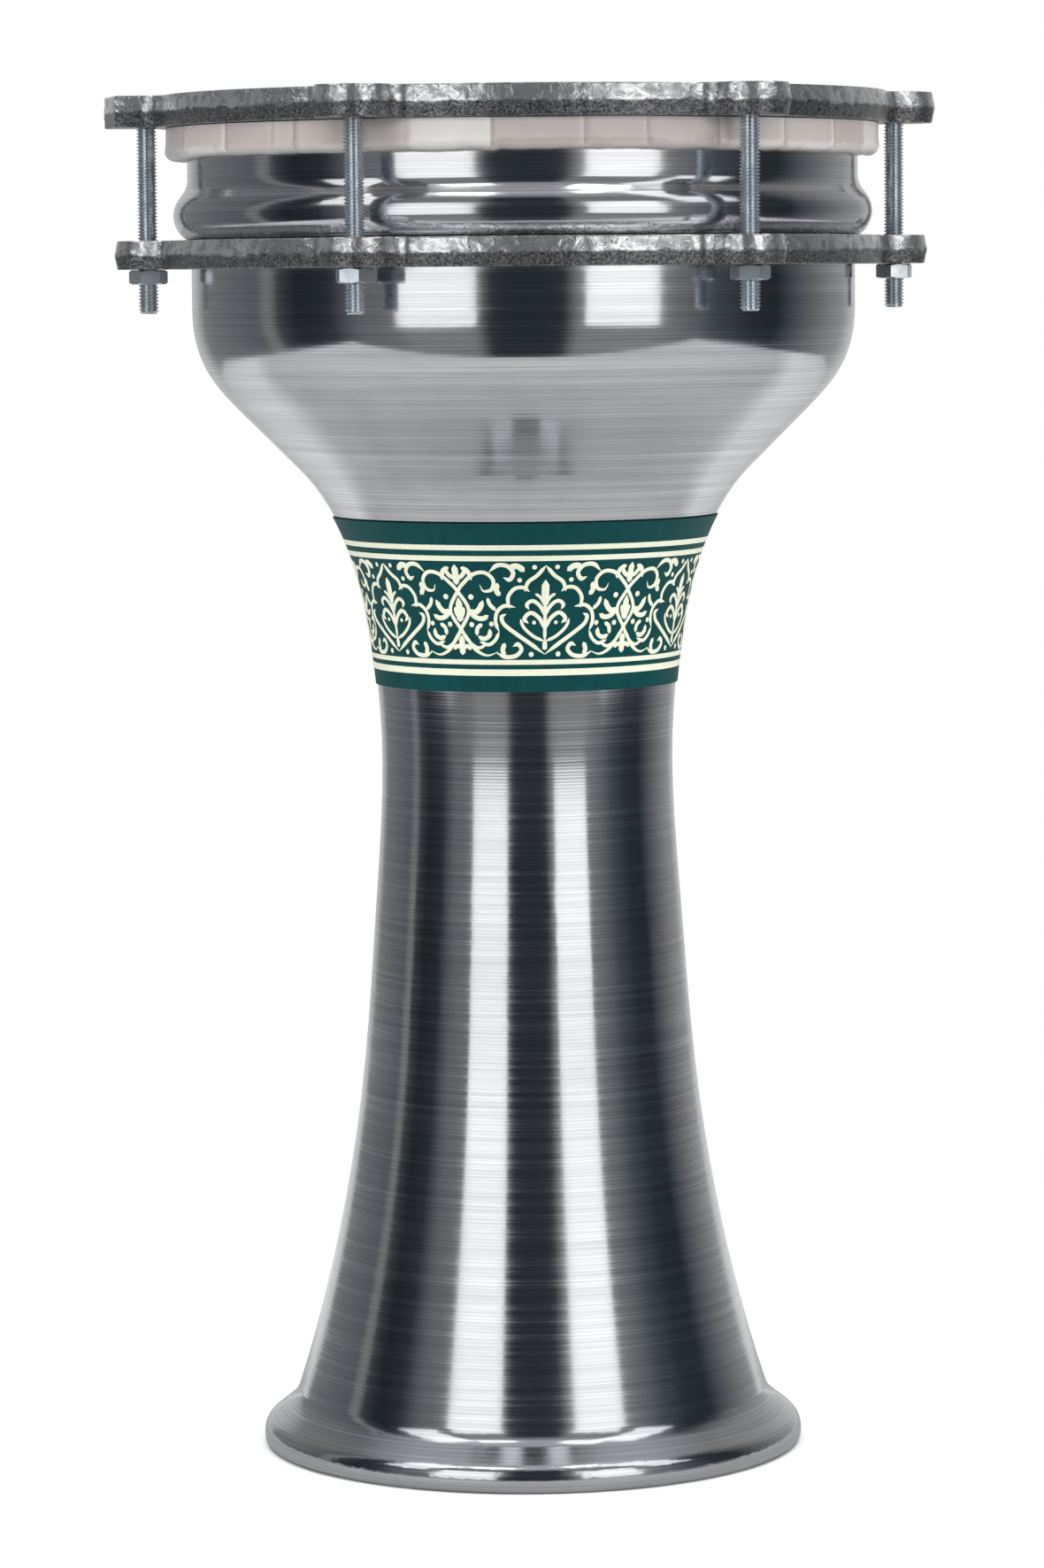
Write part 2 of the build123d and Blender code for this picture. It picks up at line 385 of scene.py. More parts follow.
def cast_aluminium(name, parting):
    """Sand-cast metal: hammered over the parting line and gritty under it; under it the colour is
    darkened as painted shade, and faces that look up are painted lighter as a painted highlight.
    """
    shader = Shader(name, Metallic=0.92, Specular_IOR_Level=0.6)
    grain = shader.noise(shader.place, 1500.0, 4.0, 0.7)
    lumps = shader.noise(shader.place, 300.0, 3.0, 0.55, 0.6)
    patches = shader.noise(shader.place, 60.0, 4.0, 0.6)
    edge = shader.noise(shader.place, 150.0, 5.0, 0.7)
    cells = shader.node("ShaderNodeTexVoronoi", {"Vector": shader.place}, Scale=620.0)
    pits = shader.ramp(cells.outputs["Distance"], (0.08, 1.0), (0.24, 0.0))
    chosen = shader.ramp(shader.noise(shader.place, 230.0, 2.0), (0.52, 0.0), (0.62, 1.0))
    pits = shader.mix(1.0, pits, chosen, "MULTIPLY")

    # Mask for under the parting line, with a ragged edge: it brings the real grit and roughness,
    # and painted shade that darkens the lower face
    above = shader.math("SUBTRACT", shader.upward(shader.place), parting - 0.5 * MM)
    ragged = shader.math("MULTIPLY", shader.math("SUBTRACT", edge, 0.5), 5.0 * MM)
    above = shader.math("ADD", above, ragged)
    below = shader.ramp(shader.math("DIVIDE", above, MM), (0.0, 1.0), (0.7, 0.0))
    normal = shader.node("ShaderNodeNewGeometry").outputs["Normal"]
    # Painted highlight: faces that look up are painted lighter
    facing_up_highlight = shader.ramp(shader.upward(normal), (0.80, 0.0), (0.97, 1.0))

    tone = shader.ramp(patches, (0.3, (0.64, 0.645, 0.66)), (0.7, (0.84, 0.845, 0.86)))
    tone = shader.mix(shader.ramp(lumps, (0.36, 0.7), (0.54, 0.0)), tone, (0.32, 0.32, 0.33))
    # Colour under the parting line: the grit is real, its darkness is painted shade
    shaded_grit = shader.ramp(grain, (0.42, (0.03, 0.03, 0.032)), (0.62, (0.40, 0.40, 0.405)))
    tone = shader.mix(shader.math("MULTIPLY", below, 0.9), tone, shaded_grit)
    tone = shader.mix(shader.math("MULTIPLY", pits, 0.7), tone, (0.10, 0.10, 0.105))
    tone = shader.mix(shader.math("MULTIPLY", facing_up_highlight, 0.5), tone, (0.70, 0.705, 0.72))
    rough = shader.ramp(lumps, (0.35, 0.30), (0.65, 0.16))
    rough = shader.mix(below, rough, 0.34)
    rough = shader.mix(pits, rough, 0.7)

    depth = shader.math("SUBTRACT", lumps, shader.math("MULTIPLY", pits, 0.9))
    surface = shader.bump(depth, 0.26 * MM, 0.9)
    surface = shader.bump(grain, 0.03 * MM, 0.6, surface)
    return shader.painted(tone, rough, surface)


def zinc_steel():
    """Bright zinc plate with a blue tint and faint spots."""
    shader = Shader("zinc_steel", Metallic=0.94)
    spots = shader.noise(shader.place, 900.0, 4.0, 0.6)
    clouds = shader.noise(shader.place, 110.0, 4.0, 0.6)
    tone = shader.ramp(clouds, (0.3, (0.56, 0.62, 0.66)), (0.7, (0.79, 0.85, 0.89)))
    tone = shader.mix(shader.ramp(spots, (0.55, 0.0), (0.75, 0.5)), tone, (0.36, 0.39, 0.41))
    rough = shader.ramp(clouds, (0.3, 0.34), (0.7, 0.22))
    return shader.painted(tone, rough, shader.bump(spots, 0.02 * MM, 0.5))


def drum_film():
    """Milky polyester film; each folded tab has its own tint, and the same attribute carries
    painted shadow and painted highlights at the seams and a painted highlight on the rolled lip.
    """
    shader = Shader("drum_film", Specular_IOR_Level=0.5, Coat_Weight=0.25, Coat_Roughness=0.16)
    tab_tone_and_light = shader.node("ShaderNodeAttribute", attribute_name="tab_tint_and_painted_light").outputs["Fac"]
    clouds = shader.noise(shader.place, 45.0, 5.0, 0.6)
    streaks = shader.noise(shader.scaled(260, 260, 40), 1.0, 4.0, 0.6)
    dust = shader.noise(shader.place, 700.0, 3.0, 0.6)
    tone = shader.ramp(tab_tone_and_light, (0.0, (0.29, 0.25, 0.24)), (0.6, (0.42, 0.385, 0.37)),
                       (1.0, (0.60, 0.575, 0.56)))
    tone = shader.mix(shader.ramp(clouds, (0.4, 0.0), (0.7, 0.3)), tone, (0.44, 0.41, 0.395))
    tone = shader.mix(shader.ramp(streaks, (0.5, 0.0), (0.75, 0.16)), tone, (0.30, 0.27, 0.255))
    tone = shader.mix(shader.ramp(dust, (0.66, 0.0), (0.85, 0.12)), tone, (0.25, 0.23, 0.22))
    rough = shader.ramp(clouds, (0.3, 0.26), (0.7, 0.42))
    surface = shader.bump(clouds, 0.12 * MM, 0.6)
    surface = shader.bump(streaks, 0.02 * MM, 0.5, surface)
    return shader.painted(tone, rough, surface)


def printed_teal():
    """Satin printed sleeve in dark teal, with slight ink mottling."""
    shader = Shader("printed_teal", Specular_IOR_Level=0.18)
    mottle = shader.noise(shader.place, 260.0, 4.0, 0.6)
    weave = shader.noise(shader.scaled(1200, 1200, 1200), 1.0, 2.0)
    tone = shader.ramp(mottle, (0.3, (0.001, 0.041, 0.043)), (0.7, (0.002, 0.057, 0.057)))
    rough = shader.ramp(mottle, (0.3, 0.46), (0.7, 0.56))
    return shader.painted(tone, rough, shader.bump(weave, 0.008 * MM, 0.4))


def printed_cream():
    """Thick cream ink of the ornament and its border lines."""
    shader = Shader("printed_cream", Specular_IOR_Level=0.35)
    mottle = shader.noise(shader.place, 480.0, 4.0, 0.6)
    tone = shader.ramp(mottle, (0.3, (0.74, 0.765, 0.60)), (0.7, (0.79, 0.815, 0.66)))
    rough = shader.ramp(mottle, (0.3, 0.55), (0.7, 0.45))
    return shader.painted(tone, rough, shader.bump(mottle, 0.01 * MM, 0.5))


def hoop_aluminium():
    """Plain drawn bar, with lines along it."""
    shader = Shader("hoop_aluminium", Metallic=1.0)
    lines = shader.noise(shader.scaled(30, 30, 1800), 1.0, 3.0, 0.6)
    tone = shader.ramp(lines, (0.3, (0.5, 0.51, 0.52)), (0.7, (0.66, 0.665, 0.68)))
    rough = shader.ramp(lines, (0.3, 0.28), (0.7, 0.42))
    return shader.painted(tone, rough, shader.bump(lines, 0.02 * MM, 0.5))


# ---- screws and nuts

def thread_radius(turns):
    """Radius of the thread at a number of pitches along it: crest, flank, root, flank."""
    radii = (THREAD_CREST, THREAD_CREST, THREAD_ROOT, THREAD_ROOT, THREAD_CREST)
    return np.interp(turns % 1.0, (*THREAD_CORNERS, 1), radii)


def hexagon(flats, turn=0.0):
    """Radius of a hexagon as a function of angle, with a corner at the turn."""
    def radius(angle):
        off_corner = (angle - turn) % math.radians(60)
        return flats / 2 / math.cos(off_corner - math.radians(30))
    return radius


def screw_mesh(name, top, bottom, head_radius, phase):
    """A fully threaded countersunk screw with a hexagon socket, on the Z axis."""
    columns = 48
    per_turn = len(THREAD_CORNERS)
    head_edge = 0.3 * MM
    neck = top - head_edge - (head_radius - THREAD_CREST)
    chamfer = 0.8 * MM
    turns = math.ceil((neck - bottom) / THREAD_PITCH) + 2
    start = bottom - 1.5 * THREAD_PITCH
    levels = turns * per_turn + 1

    def thread_point(column, level):
        angle = math.tau * column / columns
        along = level // per_turn + THREAD_CORNERS[level % per_turn]
        height = start + THREAD_PITCH * (along + column / columns)
        height = min(max(height, bottom), neck)
        radius = thread_radius((height - start) / THREAD_PITCH - column / columns)
        limit = THREAD_CREST - max(0.0, chamfer - (height - bottom))
        radius = min(radius, limit)
        return (radius * math.cos(angle + phase), radius * math.sin(angle + phase), height)

    points = [
        thread_point(column, level) for level in range(levels) for column in range(columns)
    ]
    faces = []
    for level in range(levels - 1):
        for column in range(columns):
            beside = (column + 1) % columns
            rise = per_turn if beside == 0 else 0  # a full turn on, the thread is a pitch higher
            if level + rise + 1 < levels:
                faces.append((
                    level * columns + column,
                    (level + rise) * columns + beside,
                    (level + rise + 1) * columns + beside,
                    (level + 1) * columns + column,
                ))

    centre = len(points)
    points.append((0, 0, bottom))
    for column in range(columns):
        faces.append((centre, (column + 1) % columns, column))

    socket = hexagon(SOCKET_FLATS, phase)
    lip = hexagon(SOCKET_FLATS + 0.3 * MM, phase)
    rim = 0.12 * MM
    head = [
        (THREAD_CREST, neck),
        (head_radius, top - head_edge),
        (head_radius, top - rim),
        (head_radius - rim, top),
        (lip, top),
        (socket, top - 0.15 * MM),
        (socket, top - SOCKET_DEPTH),
        (1.2 * MM, top - SOCKET_DEPTH),
    ]
    first = len(points)
    for radius, height in head:
        points += ring_points(radius, height, columns, phase)
    faces += grid_faces(len(head), columns, first=first)
    top_thread = (levels - 1) * columns
    for column in range(columns):
        beside = (column + 1) % columns
        faces.append((top_thread + column, top_thread + beside, first + beside, first + column))
    tip = len(points)
    points.append((0, 0, top - SOCKET_DEPTH - 0.5 * MM))
    inner = first + (len(head) - 1) * columns
    for column in range(columns):
        faces.append((tip, inner + column, inner + (column + 1) % columns))
    return mesh_object(name, points, faces, math.radians(24))


def nut_mesh(name, top, bottom, turn):
    """A chamfered hexagon nut with a chamfered bore, on the Z axis."""
    corner = NUT_FLATS / math.sqrt(3)
    face_radius = corner - 0.9 * MM
    slope = 1.8
    bore_chamfer = 0.45 * MM
    outline = hexagon(NUT_FLATS, turn)

    def side(depth):
        return lambda angle: min(outline(angle), face_radius + slope * depth)

    depths = [step * 0.1 * MM for step in range(7)]
    mouth = NUT_BORE + bore_chamfer
    profile = [(NUT_BORE, bottom + bore_chamfer), (mouth, bottom)]
    profile += [(side(depth), bottom + depth) for depth in depths]
    profile += [(side(depth), top - depth) for depth in reversed(depths)]
    profile += [(mouth, top), (NUT_BORE, top - bore_chamfer)]
    return turned(name, profile, 144, math.radians(28), closed=True)


def moved(thing, x, y):
    """Shift a mesh sideways, in its points."""
    thing.data.transform(Matrix.Translation((x, y, 0)))
    return thing


def hexagon_turn(node):
    """Angle of one corner of a nut's CAD node, seen from its middle."""
    middle = centre_of(node)
    corners = [
        (math.hypot(vertex.co.x - middle.x, vertex.co.y - middle.y),
         math.atan2(vertex.co.y - middle.y, vertex.co.x - middle.x))
        for vertex in nodes[node].data.vertices
    ]
    return max(corners)[1]


def make_hardware(material):
    """The six screws on the tension frame and the six nuts, each on its own body."""
    for index in range(1, LUG_COUNT + 1):
        screw = f"tension_screw_{index}"
        low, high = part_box(screw)
        middle = centre_of(screw)
        head_radius = (high.x - low.x) / 2
        thing = screw_mesh(f"threaded_screw_{index}", high.z, low.z, head_radius, 1.1 * index)
        moved(thing, middle.x, middle.y)
        dress(thing, material, slots[screw], "tension_frame", screw)

        nut = f"tension_nut_{index}"
        low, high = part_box(nut)
        middle = centre_of(nut)
        thing = nut_mesh(f"hexagon_nut_{index}", high.z, low.z, hexagon_turn(nut))
        moved(thing, middle.x, middle.y)
        dress(thing, material, slots[nut], f"nut_{index}", nut)


# ---- cast rings

def hole_cutter(name, node, countersunk):
    """Tools that drill, and countersink, a ring's six screw holes."""
    low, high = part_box(node)
    head_low, head_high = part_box("tension_screw_1")
    head_radius = (head_high.x - head_low.x) / 2
    chamfer = 0.4 * MM
    sink = head_radius + HEAD_GAP if countersunk else SCREW_HOLE + chamfer
    over = 2 * MM
    profile = [
        (0.0, low.z - over),
        (SCREW_HOLE, low.z - over),
        (SCREW_HOLE, high.z - (sink - SCREW_HOLE)),
        (sink, high.z),
        (sink, high.z + over),
        (0.0, high.z + over),
    ]
    tools = []
    for index in range(1, LUG_COUNT + 1):
        middle = centre_of(f"tension_screw_{index}")
        tools.append(moved(turned(f"{name}_{index}", profile, 64), middle.x, middle.y))
    return tools


def carve(thing, tools, sharp):
    """Cut the tools out of a piece, apply the result and remove the tools."""
    for tool in tools:
        cut = thing.modifiers.new(tool.name, "BOOLEAN")
        cut.operation = "DIFFERENCE"
        cut.solver = "EXACT"
        cut.object = tool
    bpy.context.view_layer.update()
    graph = bpy.context.evaluated_depsgraph_get()
    result = bpy.data.meshes.new_from_object(thing.evaluated_get(graph))
    thing.modifiers.clear()
    thing.data = result
    for tool in tools:
        bpy.data.objects.remove(tool)
    finish_mesh(result, sharp, 1e-6)


def ring_columns(tree, height, spacing):
    """Angles round a ring, evenly spaced along its lugged outline."""
    samples = 5400
    angles = np.linspace(0, math.tau, samples, endpoint=False)
    radii = np.array([outer_radius(tree, angle, height) for angle in angles])
    following = np.roll(radii, -1)
    turn = math.tau / samples
    steps = np.hypot(following * np.cos(turn) - radii, following * np.sin(turn))
    run = np.concatenate([[0], np.cumsum(steps)])
    count = int(run[-1] / spacing)
    wanted = np.linspace(0, run[-1], count, endpoint=False)
    return np.interp(wanted, run, np.append(angles, math.tau))


def cast_ring(name, node, inner_round, countersunk):
    """A ring as it leaves the sand: tapered, softly edged and uneven, then drilled."""
    tree = node_tree(node)
    low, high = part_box(node)
    parting = (low.z + high.z) / 2
    bore = inner_radius(tree, 0.2, parting)
    edge = 0.55 * MM
    spacing = 0.8 * MM
    columns = ring_columns(tree, parting, spacing)

    side_rows = 7
    face_rows = 10
    side_heights = [high.z - edge - (high.z - parting - edge) * row / side_rows
                    for row in range(side_rows)]
    side_heights += [parting]
    side_heights += [2 * parting - height for height in reversed(side_heights[:-1])]

    rows = []
    for angle in columns:
        sides = [(outer_radius(tree, angle, height), height) for height in side_heights]
        reach = sides[0][0]
        top_edge = (reach - edge, high.z)
        bottom_edge = (reach - edge, low.z)
        inner_top = (bore + inner_round, high.z)
        section = even((bore, low.z + edge), (bore, high.z - inner_round), 5, ends=False)
        section += arc((bore + inner_round, high.z - inner_round), inner_round, 180, 90, 5)
        section += even(inner_top, top_edge, face_rows)[1:]
        section += arc((reach - edge, high.z - edge), edge, 65, 25, 1)
        section += sides
        section += arc((reach - edge, low.z + edge), edge, -25, -65, 1)
        section += even(bottom_edge, (bore + edge, low.z), face_rows)
        rows.append([
            (radius * math.cos(angle), radius * math.sin(angle), height)
            for radius, height in section
        ])
    points = [point for row in rows for point in row]
    faces = grid_faces(len(rows), len(rows[0]), close_rows=True)
    thing = mesh_object(name, points, faces, math.radians(60))
    roughen(thing.data)
    carve(thing, hole_cutter(name + "_drill", node, countersunk), math.radians(38))
    return thing


def roughen(mesh):
    """Sink a casting's surface by up to a third of a millimetre, less on its flat faces."""
    mesh.update()
    normals = [vertex.normal.copy() for vertex in mesh.vertices]
    for vertex, normal in zip(mesh.vertices, normals):
        place = vertex.co
        swell = 0.5 + 0.5 * noise.noise(place * 110)
        hammer = 0.5 + 0.5 * noise.noise(place * 430)
        grit = 0.5 + 0.5 * noise.noise(place * 1150)
        flat = abs(normal.z) > 0.8
        side = 0.35 if flat else 1.0
        depth = side * (0.10 * swell + 0.16 * hammer + 0.07 * grit) * MM
        vertex.co = place - normal * depth
    mesh.update()


# ---- head film

def tab_seams():
    """Angles of the seams between the folded tabs: as photographed in front, random behind."""
    draw = random.Random(7)
    narrowest = 8
    widest = 16
    seams = [-69, -53.5, -42, -37.5, -18, -4.5, 9.5, 19.5, 31.5, 45, 58, 70]
    while seams[-1] < seams[0] + 360 - widest:
        seams.append(seams[-1] + draw.uniform(narrowest, widest))
    return [VIEW_ANGLE + math.radians(seam) for seam in seams]


def tab_at(seams, angle):
    """Which tab an angle falls on, and how far across it, from 0 to 1."""
    turn = (angle - seams[0]) % math.tau
    starts = [seam - seams[0] for seam in seams]
    index = max(i for i, start in enumerate(starts) if start <= turn + 1e-9)
    end = starts[index + 1] if index + 1 < len(starts) else math.tau
    return index, (turn - starts[index]) / (end - starts[index])


def head_skin(material):
    """The film: flat over the head, down the collar, and folded up round the hoop in tabs."""
    node = "head_film"
    low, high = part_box(node)
    shell_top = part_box("shell_bowl")[1].z
    thickness = high.z - shell_top - 0.02 * MM
    skirt = high.x
    bend = 4.02 * MM
    collar = inner_radius(node_tree(node), 0.3, (low.z + shell_top) / 2)
    fold = (skirt - collar) / 2
    fold_height = low.z + fold
    skirt_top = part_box("top_ring")[0].z - 0.25 * MM
    underside = high.z - thickness

    columns = 1200
    seams = tab_seams()
    draw = random.Random(11)
    lifts = [draw.uniform(0.15, 0.50) * MM for _ in seams]
    drops = [draw.uniform(-0.7, 0.7) * MM for _ in seams]
    tints = [draw.choice((0.3, 0.4, 0.5, 0.6, 0.7, 0.9)) for _ in seams]

    skirt_rows = 12
    points = []
    for column in range(columns):
        angle = math.tau * column / columns
        index, across = tab_at(seams, angle)
        # A tab stands proud where it starts and sinks towards the next one
        step = min(1.0, across * 14)
        lift = lifts[index] * (1 - 0.8 * across) * step + lifts[index - 1] * 0.2 * (1 - step)
        place = Vector((math.cos(angle), math.sin(angle), 0))
        wave = 0.6 * MM * noise.noise(place * 7) + 0.45 * MM * noise.noise(place * 26)
        wave += drops[index] * step + drops[index - 1] * (1 - step)
        seam_dip = 0.16 * MM * math.exp(-((across * 16) ** 2))

        # One side of the film: skirt from its top edge, fold, collar, underside of the head
        outside = []
        for row in range(skirt_rows + 1):
            share = row / skirt_rows
            height = skirt_top + (fold_height - skirt_top) * share
            lip = 0.22 * MM * share ** 6
            pucker = 0.08 * MM * noise.noise(Vector((place.x * 16, place.y * 16, share * 2.0)))
            radius = skirt + lift * (0.35 + 0.65 * share) + lip + pucker - seam_dip
            outside.append((radius, height + wave * share))
        foot = outside[-1]
        reach = (foot[0] - collar) / 2
        under = [
            (
                collar + reach + reach * math.cos(math.radians(turn)),
                foot[1] + (fold + 0.1 * MM + wave * 0.5) * math.sin(math.radians(turn)),
            )
            for turn in range(-15, -166, -15)
        ]
        inner_wall = even((collar, fold_height), (collar, shell_top - bend), 4)
        over = arc((collar - bend, shell_top - bend), underside - shell_top + bend, 0, 90, 7)[1:]
        flat = even((collar - bend, underside), (0.0, underside), 9)[1:]
        lower = outside + under + inner_wall + over + flat

        # Its other side, from the middle of the head back to the skirt's top edge
        flat_top = even((0.0, high.z), (collar - bend, high.z), 9)
        over_top = arc((collar - bend, shell_top - bend), bend + thickness, 90, 0, 7)[1:]
        inside_wall = even((collar + thickness, shell_top - bend),
                           (collar + thickness, fold_height), 4)[1:]
        under_top = arc((collar + fold, fold_height), fold - thickness, 180, 360, 10)[1:]
        inside_skirt = even((skirt - thickness, fold_height), (skirt - thickness, skirt_top), 4)[1:]
        upper = flat_top + over_top + inside_wall + under_top + inside_skirt

        section = lower + upper
        points += [
            (radius * math.cos(angle), radius * math.sin(angle), height)
            for radius, height in section
        ]
    faces = grid_faces(columns, len(section), close_rows=True)
    thing = mesh_object("head_skin", points, faces, math.radians(50))
    paint = thing.data.attributes.new("tab_tint_and_painted_light", "FLOAT", "POINT")
    half_column = math.pi / columns
    for vertex in thing.data.vertices:
        place = vertex.co
        index, across = tab_at(seams, math.atan2(place.y, place.x) + half_column)
        # Painted shadow where each tab starts at a seam, and a painted highlight where it ends at
        # the next seam
        seam_shadow_and_highlight = 0.5 * math.exp(-((across * 24) ** 2)) - 0.25 * math.exp(-((1 - across) * 18) ** 2)
        # Painted highlight: the rolled lip at the foot of the skirt is painted lighter
        lip = 0.3 if place.z < fold_height - 0.5 * MM else 0.0
        on_skirt = math.hypot(place.x, place.y) > skirt - 2 * thickness
        tint_and_painted_light = tints[index] - seam_shadow_and_highlight + lip if on_skirt else 0.8
        paint.data[vertex.index].value = min(max(tint_and_painted_light, 0.0), 1.0)
    dress(thing, material, slots[node], "shell", node)


# ---- printed band

class Band:
    """The neck band's outer surface, as a place to lay printed shapes on."""

    def __init__(self, node):
        self.low, self.high = (corner.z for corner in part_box(node))
        tree = node_tree(node)
        inset = 0.02 * MM
        self.heights = np.linspace(self.low + inset, self.high - inset, 80)
        self.radii = np.array([outer_radius(tree, 0.7, height) for height in self.heights])
        self.slopes = np.gradient(self.radii, self.heights)

    def point(self, angle, height, proud):
        """A point over the band's surface."""
        radius = np.interp(height, self.heights, self.radii)
        slope = np.interp(height, self.heights, self.slopes)
        lean = math.hypot(1, slope)
        radius += proud / lean
        height -= proud * slope / lean
        return (radius * math.cos(angle), radius * math.sin(angle), height)


# Millimetres over the band's lower edge: the printed lines, and the start of the ornament
LINES = ((4.8, 6.8), (8.1, 9.6), (38.8, 40.4), (42.0, 43.6))
FIELD_LOW = 9.6
REPEATS = 6
REPEAT_WIDTH = 52.0  # millimetres along the band, one sixth of the way round
INK = 0.11 * MM
INK_SHARP = math.radians(50)

# Strokes of one repeat, in millimetres from its middle and over the field's lower edge.
# Each has its width and its points; mirrored ones are drawn on both sides of the middle.
CARTOUCHE = [
    (1.25, [(0, 1.6), (4.2, 4.6), (8.6, 7.6), (12.2, 10.4), (13.0, 12.6), (11.6, 13.6)]),
    (1.15, [(13.9, 8.2), (14.9, 11.2), (14.3, 14.2), (12.0, 16.0), (8.8, 15.6)]),
    (1.15, [(10.6, 15.2), (10.9, 18.4), (9.0, 21.0), (6.4, 21.4), (4.6, 20.2)]),
    (1.15, [(6.0, 20.2), (5.0, 23.0), (2.4, 25.0), (0, 27.9)]),
    (1.0, [(0, 5.4), (3.4, 6.9), (6.4, 9.6), (7.4, 12.2)]),
    (1.25, [(0, 8.6), (1.5, 12.0), (4.2, 13.9), (6.2, 12.2), (5.0, 10.8)]),
    (1.15, [(0, 12.6), (1.3, 15.6), (3.6, 17.4), (5.4, 16.4), (4.8, 14.9)]),
    (0.9, [(0, 15.8), (1.4, 18.4), (3.0, 19.6)]),
]
CARTOUCHE_MIDDLE = [
    (1.1, [(0, 5.2), (0, 9.5), (0, 14.0), (0, 17.2)]),
    (2.3, [(0, 16.8), (0, 18.4), (0, 20.2), (0, 23.6)]),
    (1.5, [(0, 2.9), (0, 3.6), (0, 4.4), (0, 5.6)]),
]
CROSSING = [
    (1.15, [(14.4, 2.4), (18.0, 1.3), (21.6, 3.0), (24.4, 6.6), (26.0, 9.0), (29.0, 14.6),
            (26.0, 20.2), (24.0, 22.6), (20.6, 25.4), (17.2, 25.8), (15.0, 23.6),
            (15.6, 20.9), (18.0, 20.4), (19.0, 22.2)]),
    (1.0, [(26.0, 9.0), (27.8, 6.0), (31.0, 3.6), (34.0, 4.4)]),
    (1.7, [(23.2, 14.6), (21.2, 14.0), (19.6, 15.2), (18.4, 17.6)]),
    (1.5, [(23.0, 14.4), (21.0, 12.6), (18.8, 12.2), (17.0, 13.2)]),
    (1.4, [(20.6, 7.0), (18.8, 6.2), (17.0, 7.2), (16.8, 9.2)]),
    (1.3, [(21.0, 7.2), (20.6, 9.4), (19.0, 10.6)]),
    (1.4, [(21.4, 23.6), (22.2, 26.2), (24.2, 27.4)]),
]
CROSSING_MIDDLE = [
    (2.2, [(26.0, 11.2), (26.0, 12.8), (26.0, 14.6), (26.0, 18.4)]),
    (2.0, [(26.0, 1.4), (26.0, 3.0), (26.0, 4.6), (26.0, 7.2)]),
    (2.0, [(26.0, 22.2), (26.0, 24.0), (26.0, 25.6), (26.0, 28.2)]),
]
CROSSING_LEAVES = [
    (1.3, [(26.0, 3.2), (27.6, 4.0), (29.0, 3.0)]),
    (1.3, [(26.0, 24.0), (27.8, 24.8), (29.2, 26.6)]),
    (1.2, [(26.0, 12.0), (27.0, 13.6), (27.4, 15.6)]),
]
# Scrolls that fill the corners between a cartouche and a crossing
CORNERS = [
    (1.3, [(15.0, 2.1), (12.2, 0.9), (9.0, 1.2), (7.2, 3.0), (8.2, 4.6), (9.8, 4.0)]),
    (1.5, [(12.4, 1.2), (13.0, 3.0), (12.2, 5.0)]),
    (1.1, [(13.9, 8.4), (15.2, 5.9), (17.4, 4.5), (20.2, 5.4)]),
    (1.3, [(16.0, 26.0), (13.6, 28.0), (10.8, 27.8), (9.2, 25.8), (10.2, 23.8), (12.0, 24.4)]),
    (1.8, [(10.2, 27.4), (8.0, 27.7), (6.0, 26.2)]),
    (1.6, [(13.2, 19.0), (14.2, 20.6), (13.8, 22.8)]),
    (1.2, [(14.6, 14.6), (16.4, 16.4), (17.0, 18.4)]),
]
DOTS = [(4.2, 1.6, 0.8), (3.2, 27.4, 0.7), (22.4, 10.4, 0.8), (22.0, 18.6, 0.85),
        (3.3, 11.0, 0.6), (16.2, 10.6, 0.75), (7.4, 23.6, 0.7)]


def smooth_line(points, steps):
    """A Catmull-Rom curve through a stroke's points."""
    ends = [2 * Vector(points[0]) - Vector(points[1])]
    tail = [2 * Vector(points[-1]) - Vector(points[-2])]
    knots = ends + [Vector(point) for point in points] + tail
    line = []
    for index in range(1, len(knots) - 2):
        a, b, c, d = knots[index - 1:index + 3]
        for step in range(steps):
            t = step / steps
            line.append(0.5 * (2 * b + (c - a) * t + (2 * a - 5 * b + 4 * c - d) * t ** 2
                               + (3 * b - a - 3 * c + d) * t ** 3))
    return line + [knots[-2]]


def stroke_outline(points, width):
    """Middle points, side directions and half widths along one brush stroke."""
    line = smooth_line(points, 7)
    last = len(line) - 1
    drawn = []
    for index, point in enumerate(line):
        ahead = line[min(index + 1, last)] - line[max(index - 1, 0)]
        side = Vector((-ahead.y, ahead.x)).normalized()
        share = index / last
        swell = min(1.0, 6.0 * min(share, 1 - share) + 0.12)
        drawn.append((point, side, 0.5 * width * swell))
    return drawn


